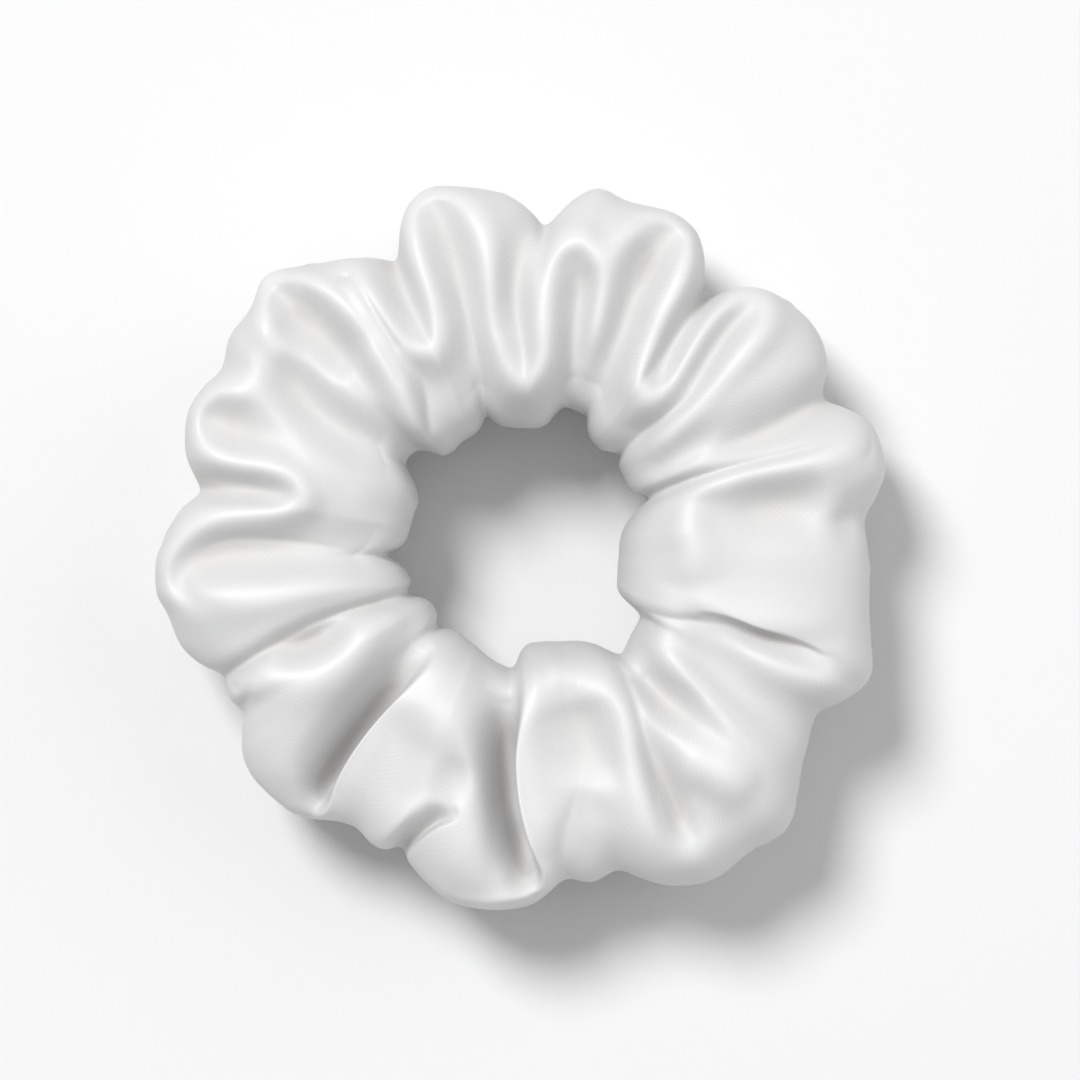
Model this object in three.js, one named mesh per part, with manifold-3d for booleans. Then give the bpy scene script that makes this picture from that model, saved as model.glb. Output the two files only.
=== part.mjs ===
// Satin scrunchie: a gathered fabric tube drawn up round a flat elastic loop.
// Millimetres and degrees, +Z up. Origin: the centre of the hair opening, on the plane it rests on.
//
// The cover, its lengthwise seam and the elastic are each divided into LINKS equal links round the
// ring, so that the ring can stretch. Link 0 is at the closing seam, where the two ends of the
// tube, and of the elastic, are lapped and sewn together.
import * as THREE from 'three';
import { ParametricGeometry } from 'three/addons/geometries/ParametricGeometry.js';
import { mergeVertices } from 'three/addons/utils/BufferGeometryUtils.js';
import Module from 'manifold-3d';

const { smoothstep, clamp, lerp } = THREE.MathUtils;
const RAD = Math.PI / 180;

// ---- ring and tube ----
const LINKS = 12; // gathers round the ring
const LINK_DEG = 360 / LINKS;
const GAP = 0.35; // between neighbouring links
const SEAM_DEG = 120; // angle of the closing seam, from +X
const RING_R = 37; // centre line of the fabric tube
const TUBE_A = 19; // radial half-width of a gather
const TUBE_B = 15.5; // half-height of a gather
const SEAM_B = 14; // half-height at the closing seam, which is drawn in
const PRESSED = 0.5; // the bottom of a gather is pressed flat by this much
const TUBE_Z = TUBE_B - PRESSED; // height of the tube's centre line
const PINCH = 0.86; // size of the tube between two gathers, as a share of its full size
const WALL = 1.2; // gathered satin: two layers of pleats
const AROUND = 20; // facets round the tube
const GATHER_STEPS = 8; // steps along a gather

// ---- pleats ----
const PLEAT = 1; // mean height above and below the plain swell
const PLEAT_DEG = 15; // from one pleat to the next: two to a gather
const PLEAT_LEAN_DEG = 3; // a pleat leans this far round the ring on its way over the tube
const LEAN_SHIFT = 0.6; // radians by which the lean shifts from gather to gather
const PLEAT_FADE = 0.7; // power of the cosine that fades a pleat at a gather's ends
const SIZE_MEAN = 0.8; // pleat size varies between gathers: mean share of PLEAT,
const SIZE_SWING = 0.25; // swing about that mean
const SIZE_PHASE = 2.4; // and radians of phase per gather
const PLEAT_OUTWARD = [-0.8, -0.1]; // cos(phi) over which pleats fade in from the hair opening
const PLEAT_CLEAR = [-0.9, -0.5]; // sin(phi) over which they fade in from the resting face

// ---- lapped ends of the cover ----
const LAP_DEG = 8;
const LAP_GAP = 0.4; // between the lapped layers
const LAP_CLEAR_DEG = 0.6; // from the hemmed end back to the tucked end's shoulder
const SHOULDER_DEG = 1.2; // length in which the tucked end steps inwards
const TUCK_SHORT_DEG = 0.4; // the tucked end stops this far short of the closing seam's angle

// ---- lengthwise seam allowance ----
const ALLOWANCE_R = 23.8; // it reaches this radius inside the tube
const ALLOWANCE_T = 1; // its two layers
const ALLOWANCE_OVERSIZE = 2; // cut this far beyond the tube, then trimmed to it
const ALLOWANCE_END_DEG = 0.3; // it stops this far short of each end of its link
const TRIM_END_DEG = 0.2; // as does the tube that trims it
const TRIM_STEPS = 4;
const TRIM_WALL = 9;

// ---- stitches ----
const THREAD_R = 0.2;
const THREAD_LIFT = 0.32; // thread to cloth, along a stitch
const THREAD_OFFSET = THREAD_R + THREAD_LIFT; // thread's centre line to cloth
const REACH = 0.35; // half the length in which a stitch changes face
const HOLE_R = 0.8;
const STITCHES = 4; // lengthwise stitches in a full link
const ROW_R = 22.4; // radius of the lengthwise row
const ROW_MARGIN = 0.04; // bare share of a row at each of its ends
const ROW_PEG = 2.4; // length of the pegs that cut the row's holes
const CLOSING_HOLE_R = HOLE_R + 0.15;
const CLOSING_PEG_EXTRA = 1.2; // peg length beyond the two lapped layers
const CLOSING_ENDS = [-0.85, -1.15]; // thread ends, in facets from the start and the full turn

// ---- elastic ----
const ELASTIC_R = 25.9; // inside radius
const ELASTIC_T = 1.2;
const ELASTIC_W = 6.5;
const ELASTIC_STEP = 0.75; // the lapped ends step this far off the loop's centre line
const ELASTIC_LAP_DEG = 13; // each end passes the seam by this much
const TACKS = 6; // crossings of the join thread
const TACK_HALF_DEG = 10; // the tacks lie within this angle of the seam
const TACK_END_DEG = 1.2; // thread beyond the first and last tack
const TACK_RISE = 1.6; // the tacks zigzag this far above and below the centre line
const TACK_HOLE_R = HOLE_R + 0.1;
const TACK_PEG = 5;

const wasm = await Module();
wasm.setup();

// ---- solids ----
function solid(geometry) {
  geometry.deleteAttribute('normal');
  geometry.deleteAttribute('uv');
  const merged = mergeVertices(geometry, 1e-4);
  return new wasm.Manifold(new wasm.Mesh({
    numProp: 3,
    vertProperties: new Float32Array(merged.attributes.position.array),
    triVerts: new Uint32Array(merged.index.array),
  }));
}

function geometryOf(body) {
  const mesh = body.getMesh();
  const geometry = new THREE.BufferGeometry();
  const position = new Float32Array(mesh.vertProperties);
  geometry.setAttribute('position', new THREE.BufferAttribute(position, 3));
  geometry.setIndex(new THREE.BufferAttribute(new Uint32Array(mesh.triVerts), 1));
  geometry.computeVertexNormals();
  return geometry;
}

const cutAll = (body, pegs) => pegs.reduce((left, cutter) => left.subtract(cutter), body);

const polar = (radius, deg, z) =>
  new THREE.Vector3(radius * Math.cos(deg * RAD), radius * Math.sin(deg * RAD), z);

// A flat ring sector, lying level.
function sector({ inner, outer, from, to, bottom, height }) {
  const shape = new THREE.Shape();
  shape.absarc(0, 0, outer, from * RAD, to * RAD, false);
  shape.absarc(0, 0, inner, to * RAD, from * RAD, true);
  const options = { depth: height, bevelEnabled: false, curveSegments: 4 };
  const geometry = new THREE.ExtrudeGeometry(shape, options);
  geometry.translate(0, 0, bottom);
  return solid(geometry);
}

// A six-sided peg that cuts a stitch hole.
function peg({ centre, direction, radius, length }) {
  const geometry = new THREE.CylinderGeometry(radius, radius, length, 6);
  const up = new THREE.Vector3(0, 1, 0);
  const turn = new THREE.Quaternion().setFromUnitVectors(up, direction.clone().normalize());
  geometry.applyQuaternion(turn);
  geometry.translate(centre.x, centre.y, centre.z);
  return solid(geometry);
}

// ---- links ----
const halfGapDeg = (radius) => GAP / 2 / radius / RAD;

// Start and end angles of a link; the gap to its neighbours is measured at the given radius.
function linkSpan(link, radius) {
  const middle = SEAM_DEG + link * LINK_DEG;
  const half = LINK_DEG / 2 - halfGapDeg(radius);
  return [middle - half, middle + half];
}

const coverSpan = (link) => linkSpan(link, RING_R - TUBE_A * PINCH);
const elasticSpan = (link) => linkSpan(link, ELASTIC_R);

// The link at an angle, and the place along it: -1 and 1 at its ends, 0 in its middle.
function linkAt(deg) {
  const turns = Math.round((deg - SEAM_DEG) / LINK_DEG);
  const along = (deg - SEAM_DEG - turns * LINK_DEG) / (LINK_DEG / 2);
  return { link: ((turns % LINKS) + LINKS) % LINKS, along };
}

// ---- the tube's surface ----
// Radial and vertical half-sizes at an angle. Every gather is fullest in its middle.
function tubeSize(deg) {
  const { link, along } = linkAt(deg);
  const swell = Math.cos((Math.PI / 2) * along);
  const fullHeight = link === 0 ? SEAM_B : TUBE_B;
  return [lerp(TUBE_A * PINCH, TUBE_A, swell), lerp(TUBE_B * PINCH, fullHeight, swell)];
}

// Height of the pleats: none on the side of the hair opening, on the resting face, at a gather's
// ends or at the closing seam.
function pleatHeight(deg, phi) {
  const { link, along } = linkAt(deg);
  if (link === 0) return 0;
  const ends = Math.cos((Math.PI / 2) * along) ** PLEAT_FADE;
  const outward = smoothstep(Math.cos(phi), ...PLEAT_OUTWARD);
  const clear = smoothstep(Math.sin(phi), ...PLEAT_CLEAR);
  const leanSign = link % 2 ? 1 : -1;
  const lean = PLEAT_LEAN_DEG * leanSign * Math.sin(phi + LEAN_SHIFT * link);
  const size = PLEAT * (SIZE_MEAN + SIZE_SWING * Math.cos(SIZE_PHASE * link));
  const wave = -Math.cos((2 * Math.PI * (along * (LINK_DEG / 2) + lean)) / PLEAT_DEG);
  return size * wave * ends * outward * clear;
}

// A point at angle deg round the ring and phi (radians) round the tube: 0 is outside, a quarter
// turn is the top. It lies inset below the surface.
function onTube(deg, phi, inset) {
  const [halfWidth, halfHeight] = tubeSize(deg);
  const cos = Math.cos(phi);
  const sin = Math.sin(phi);
  const normalLength = Math.hypot(cos / halfWidth, sin / halfHeight);
  const depth = (inset - pleatHeight(deg, phi)) / normalLength;
  const radius = RING_R + halfWidth * cos - (depth * cos) / halfWidth;
  return polar(radius, deg, TUBE_Z + halfHeight * sin - (depth * sin) / halfHeight);
}

// An open length of tube: stations are [angle, inset of the outer face]; the wall is inside them.
function tube(stations, wall) {
  const innerFace = stations.map(([deg, inset]) => [deg, inset + wall]).reverse();
  const loop = [...stations, ...innerFace];
  const geometry = new ParametricGeometry((u, v, target) => {
    const [deg, inset] = loop[Math.round(v * loop.length) % loop.length];
    const step = Math.round(u * AROUND) % AROUND;
    target.copy(onTube(deg, (step * 2 * Math.PI) / AROUND, inset));
  }, AROUND, loop.length);
  const made = solid(geometry);
  if (made.volume() > 0) return made;
  // The surface came out facing inwards, so every triangle is turned over.
  const index = geometry.index.array;
  for (let i = 0; i < index.length; i += 3) {
    [index[i + 1], index[i + 2]] = [index[i + 2], index[i + 1]];
  }
  return solid(geometry);
}

function evenStations(from, to, steps, inset) {
  return Array.from({ length: steps + 1 }, (_, i) => [from + ((to - from) * i) / steps, inset]);
}

// ---- sewing ----
// A five-sided thread laid through a list of points, with a station at each of them.
function thread(points) {
  const profile = new THREE.Shape();
  for (let i = 0; i < 5; i++) {
    const angle = (i * 2 * Math.PI) / 5;
    profile[i ? 'lineTo' : 'moveTo'](THREAD_R * Math.cos(angle), THREAD_R * Math.sin(angle));
  }
  const path = new THREE.CatmullRomCurve3(points, false, 'catmullrom', 0.5);
  path.getUtoTmapping = (u) => u; // stations by point, not by arc length
  const options = { steps: points.length - 1, bevelEnabled: false, extrudePath: path };
  return new THREE.ExtrudeGeometry(profile, options);
}

// A row of stitches. at(place, side) is a point of the row: side is +1 or -1 for the two faces of
// the cloth and 0 half-way through it. The thread changes face at each crossing, over 2 * reach;
// rests are extra points between crossings.
function stitchRow({ crossings, reach, at, ends, rests = [] }) {
  const points = [at(ends[0], 1)];
  crossings.forEach((place, i) => {
    const side = i % 2 ? -1 : 1;
    points.push(at(place - reach, side), at(place, 0), at(place + reach, -side));
    if (rests[i] !== undefined) points.push(at(rests[i], -side));
  });
  points.push(at(ends[1], crossings.length % 2 ? -1 : 1));
  return thread(points);
}

const crossingsOf = (from, to, count) =>
  Array.from({ length: count }, (_, i) => from + ((to - from) * (i + 0.5)) / count);

// ---- materials ----
const standard = (name, color, roughness) =>
  new THREE.MeshStandardMaterial({ name, color, roughness, metalness: 0 });
const satin = standard('satin_white', 0xf1f1f0, 0.38);
const elastic = standard('elastic_white', 0xe9e8e3, 0.85);
const cotton = standard('thread_white', 0xf4f4f2, 0.6);

const scrunchie = new THREE.Group();
function add(name, geometry, material) {
  const mesh = new THREE.Mesh(geometry, material.clone());
  mesh.name = name;
  scrunchie.add(mesh);
}

const twoDigits = (link) => String(link).padStart(2, '0');

// ---- lengthwise seam ----
// The allowance stands inside the tube, on the side of the hair opening.
function allowance(from, to) {
  const plate = sector({
    inner: RING_R - TUBE_A - ALLOWANCE_OVERSIZE,
    outer: ALLOWANCE_R,
    from: from + ALLOWANCE_END_DEG,
    to: to - ALLOWANCE_END_DEG,
    bottom: TUBE_Z - ALLOWANCE_T / 2,
    height: ALLOWANCE_T,
  });
  const trim = evenStations(from + TRIM_END_DEG, to - TRIM_END_DEG, TRIM_STEPS, WALL / 2);
  return plate.intersect(tube(trim, TRIM_WALL));
}

// Adds the allowance to a length of cover and cuts the holes of its stitches.
function withAllowance(shell, from, to, count) {
  const pegs = crossingsOf(from, to, count).map((deg) => peg({
    centre: polar(ROW_R, deg, TUBE_Z),
    direction: new THREE.Vector3(0, 0, 1),
    radius: HOLE_R,
    length: ROW_PEG,
  }));
  return cutAll(shell.add(allowance(from, to)), pegs);
}

function seamThread(from, to, count) {
  const lift = ALLOWANCE_T / 2 + THREAD_OFFSET;
  const margin = (to - from) * ROW_MARGIN;
  return stitchRow({
    crossings: crossingsOf(from, to, count),
    reach: REACH / ROW_R / RAD,
    at: (deg, side) => polar(ROW_R, deg, TUBE_Z + lift * side),
    ends: [from + margin, to - margin],
  });
}

// ---- gathers ----
function addGathers() {
  const box = new THREE.BoxGeometry(200, 200, 100);
  box.translate(0, 0, 50);
  const aboveTable = solid(box);
  for (let link = 1; link < LINKS; link++) {
    const [from, to] = coverSpan(link);
    const shell = tube(evenStations(from, to, GATHER_STEPS, 0), WALL).intersect(aboveTable);
    const gather = withAllowance(shell, from, to, STITCHES);
    add(`satin_cover_gather_${twoDigits(link)}`, geometryOf(gather), satin);
    add(`lengthwise_seam_thread_${twoDigits(link)}`, seamThread(from, to, STITCHES), cotton);
  }
}

// ---- closing seam ----
// The hemmed end laps over the tucked end, and the closing stitches run through both.
function addClosingSeam() {
  const [tuckFrom, hemTo] = coverSpan(0);
  const lapFrom = SEAM_DEG - LAP_DEG;
  const closingDeg = SEAM_DEG - LAP_DEG / 2;
  const shoulder = lapFrom - LAP_CLEAR_DEG;
  const tuckFullTo = shoulder - SHOULDER_DEG;
  const tuckInset = WALL + LAP_GAP;
  const hemRow = [SEAM_DEG + 1, hemTo, STITCHES / 2]; // from, to, stitches
  const tuckRow = [tuckFrom, tuckFullTo, 1];

  const hemAngles = [lapFrom, closingDeg, SEAM_DEG, SEAM_DEG + 5, SEAM_DEG + 10, hemTo];
  const hemTube = tube(hemAngles.map((deg) => [deg, 0]), WALL);
  const tuckTube = tube([ // angle, inset
    [tuckFrom, 0],
    [tuckFrom + 3, 0],
    [tuckFullTo, 0],
    [shoulder, tuckInset],
    [closingDeg, tuckInset],
    [SEAM_DEG - TUCK_SHORT_DEG, tuckInset],
  ], WALL);

  const middle = WALL + LAP_GAP / 2; // inset half-way through the two layers
  const facet = (2 * Math.PI) / AROUND;
  const crossings = Array.from({ length: AROUND / 2 }, (_, i) => 2 * i * facet);
  const pegs = crossings.map((phi) => {
    const centre = onTube(closingDeg, phi, middle);
    return peg({
      centre,
      direction: onTube(closingDeg, phi, 0).sub(centre),
      radius: CLOSING_HOLE_R,
      length: 2 * middle + CLOSING_PEG_EXTRA,
    });
  });
  const hemmed = cutAll(withAllowance(hemTube, ...hemRow), pegs);
  const tucked = cutAll(withAllowance(tuckTube, ...tuckRow), pegs);
  add('satin_cover_hemmed_end', geometryOf(hemmed), satin);
  add('satin_cover_tucked_end', geometryOf(tucked), satin);
  add('lengthwise_seam_thread_hemmed_end', seamThread(...hemRow), cotton);
  add('lengthwise_seam_thread_tucked_end', seamThread(...tuckRow), cotton);
  add('closing_seam_thread', stitchRow({
    crossings,
    reach: REACH / Math.sqrt((TUBE_A ** 2 + SEAM_B ** 2) / 2), // radians round the tube
    at: (phi, side) => onTube(closingDeg, phi, middle - (middle + THREAD_OFFSET) * side),
    ends: [CLOSING_ENDS[0] * facet, 2 * Math.PI + CLOSING_ENDS[1] * facet],
    rests: crossings.slice(0, -1).map((phi) => phi + facet),
  }), cotton);
}

// ---- elastic ----
// A length of the band, moved outwards by offset.
function band(from, to, offset = 0) {
  const inner = ELASTIC_R + offset;
  const bottom = TUBE_Z - ELASTIC_W / 2;
  return sector({ inner, outer: inner + ELASTIC_T, from, to, bottom, height: ELASTIC_W });
}

function addElasticLinks() {
  for (let link = 1; link < LINKS; link++) {
    const name = `elastic_band_link_${twoDigits(link)}`;
    add(name, geometryOf(band(...elasticSpan(link))), elastic);
  }
}

// The two ends lap at the closing seam and are tacked together with a zigzag row.
function addElasticJoin() {
  const [from, to] = elasticSpan(0);
  const radius = ELASTIC_R + ELASTIC_T / 2;
  const crossings = crossingsOf(SEAM_DEG - TACK_HALF_DEG, SEAM_DEG + TACK_HALF_DEG, TACKS);
  const pitch = (2 * TACK_HALF_DEG) / TACKS;
  const tackZ = (deg) => {
    const place = clamp((deg - crossings[0]) / pitch, 0, TACKS - 1);
    const before = Math.min(Math.floor(place), TACKS - 2);
    const rise = before % 2 ? -TACK_RISE : TACK_RISE;
    return TUBE_Z + lerp(rise, -rise, place - before);
  };
  const pegs = crossings.map((deg) => peg({
    centre: polar(radius, deg, tackZ(deg)),
    direction: polar(1, deg, 0),
    radius: TACK_HOLE_R,
    length: TACK_PEG,
  }));
  const outer = band(SEAM_DEG - ELASTIC_LAP_DEG, to, ELASTIC_STEP);
  const inner = band(from, SEAM_DEG + ELASTIC_LAP_DEG, -ELASTIC_STEP);
  add('elastic_band_outer_end', geometryOf(cutAll(outer, pegs)), elastic);
  add('elastic_band_inner_end', geometryOf(cutAll(inner, pegs)), elastic);

  const lift = ELASTIC_STEP + ELASTIC_T / 2 + THREAD_OFFSET;
  add('elastic_join_thread', stitchRow({
    crossings,
    reach: REACH / radius / RAD,
    at: (deg, side) => polar(radius + lift * side, deg, tackZ(deg)),
    ends: [crossings[0] - TACK_END_DEG, crossings[TACKS - 1] + TACK_END_DEG],
  }), cotton);
}

addGathers();
addClosingSeam();
addElasticLinks();
addElasticJoin();

export default scrunchie;
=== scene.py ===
# A white satin scrunchie lying flat on the floor, its hair opening up along +Z.
# The cover is one puffy tube round the ring. Angles are degrees round the ring from +X, lengths
# are millimetres from its centre. The tube, the elastic in it and the lengthwise thread are cut
# at the middle of every CAD link into twelve pieces.
import math

import bpy
import numpy as np
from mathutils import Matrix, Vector


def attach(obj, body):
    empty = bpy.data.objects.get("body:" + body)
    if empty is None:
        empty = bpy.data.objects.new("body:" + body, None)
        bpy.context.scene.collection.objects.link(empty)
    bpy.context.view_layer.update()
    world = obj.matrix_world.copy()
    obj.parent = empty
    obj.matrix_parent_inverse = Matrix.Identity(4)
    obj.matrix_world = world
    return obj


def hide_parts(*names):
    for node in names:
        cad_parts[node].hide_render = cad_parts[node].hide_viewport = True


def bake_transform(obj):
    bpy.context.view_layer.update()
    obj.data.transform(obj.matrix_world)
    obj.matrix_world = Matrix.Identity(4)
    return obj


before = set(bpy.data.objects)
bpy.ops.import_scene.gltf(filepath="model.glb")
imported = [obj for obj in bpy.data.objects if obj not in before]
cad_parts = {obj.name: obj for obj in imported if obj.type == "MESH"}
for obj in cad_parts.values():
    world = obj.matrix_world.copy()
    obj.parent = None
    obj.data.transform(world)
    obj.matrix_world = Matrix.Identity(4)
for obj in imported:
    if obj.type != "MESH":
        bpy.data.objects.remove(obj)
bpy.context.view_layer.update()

MM = 0.001
SEAM = 120.0  # the closing seam
PIECES = 12
STEP = 360.0 / PIECES  # one link
HEIGHT = 15.0  # the tube's centre line
TOP_RISE, LOW_RISE = 14.2, 14.9  # from the centre line up and down
TOP_FULL, LOW_FULL = 2.7, 2.3  # how boxy the section is above and below (2 is an ellipse)
MEAN_HALF_WIDTH = 19  # of the tube, for spacing points evenly round its section
CLOTH_LENGTH, CLOTH_WIDTH = 0.260, 0.112  # metres of weave along the tube and round it

# outline of the cover seen from above: (degrees, mm)
OUTER = [
    (0, 53.8), (4, 53.5), (8, 55.7), (12, 57.8), (16, 58), (20, 57.1), (23, 55.1), (26, 52.8),
    (28, 53.8), (31, 55.7), (37, 56.8), (43, 55.7), (48, 53.1), (51, 50.5), (53, 48), (55, 50.5),
    (58, 53.8), (61, 55.7), (65, 56.3), (72, 55.7), (77, 56.5), (80, 54.8), (83, 51.8),
    (85, 49.8), (87, 51.5), (91, 53.8), (97, 55.5), (103, 56.2), (107, 54.9), (110, 52.3),
    (113, 48), (115, 49.2), (119, 50.6), (124, 52.6), (129, 54.6), (133, 55.2), (138, 54.5),
    (143, 54.5), (149, 52.9), (153, 54), (157, 54.5), (161, 53.8), (165, 52.5), (168, 50.9),
    (170, 49.8), (173, 51.7), (178, 53.8), (183, 55.5), (187, 55.7), (191, 54.5), (196, 53.8),
    (200, 52), (204, 49.5), (208, 49.7), (211, 48.8), (214, 50.8), (218, 53.1), (222, 53.8),
    (229, 53.8), (233, 52.3), (237, 50.5), (240, 50), (244, 50.9), (247, 50.9), (248.5, 49.8),
    (251, 51.1), (255, 53.4), (260, 55.4), (266, 55.8), (271, 55.4), (275, 53.5), (278, 52),
    (283, 52.8), (287, 52.2), (291, 54.6), (296, 57.7), (301, 59.2), (307, 58.8), (313, 60),
    (316, 59.1), (320, 56.2), (326, 54.2), (331, 53.1), (334, 55.1), (337, 56.8), (340, 57.7),
    (345, 56.2), (350, 54.9), (355, 54.3),
]
INNER = [
    (331, 21.8), (334, 18.2), (338, 16.6), (345, 16), (352, 15.7), (0, 15.7), (8, 16.3),
    (14, 17.8), (18, 19.7), (20, 21.1), (22, 21.1), (24, 20), (28, 19.5), (34, 19.7), (39, 20),
    (42, 21.1), (45, 20.5), (50, 19.7), (55, 20), (60, 21.4), (62, 22.8), (66, 22.8), (70, 22.8),
    (73, 21.8), (76, 19.4), (81, 18.5), (88, 18.3), (96, 18.6), (101, 19.7), (103, 20.6),
    (106, 19.4), (111, 18.5), (118, 18.2), (124, 17.7), (129, 18), (132, 19.5), (135, 21.5),
    (139, 21.8), (143, 21.5), (146, 19.7), (150, 17.8), (157, 16.6), (166, 16.6), (175, 16.9),
    (181, 18.2), (183, 20), (186, 18.8), (192, 17.4), (198, 17.1), (202, 18.2), (204, 18),
    (208, 16.5), (214, 15.7), (220, 16), (224, 17.2), (226, 17.2), (229, 16.5), (236, 16),
    (245, 16.3), (255, 17.4), (262, 18.2), (267, 18.6), (269, 18.2), (272, 16), (278, 14.9),
    (286, 15.1), (295, 16), (303, 17.2), (309, 19.2), (312, 21.5), (314, 22.8), (318, 22.5),
    (324, 22),
]
RIDGE, CREASE, POCKET, DEEP, GAP = "ridge", "crease", "pocket", "deep", "gap"
LEAN = 1.25  # how far the cloth leans over a gap, in half-widths
SHARE = {RIDGE: 0.80, CREASE: 0.62, POCKET: 0.66, DEEP: 0.90, GAP: 1.0}  # of each size below
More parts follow.
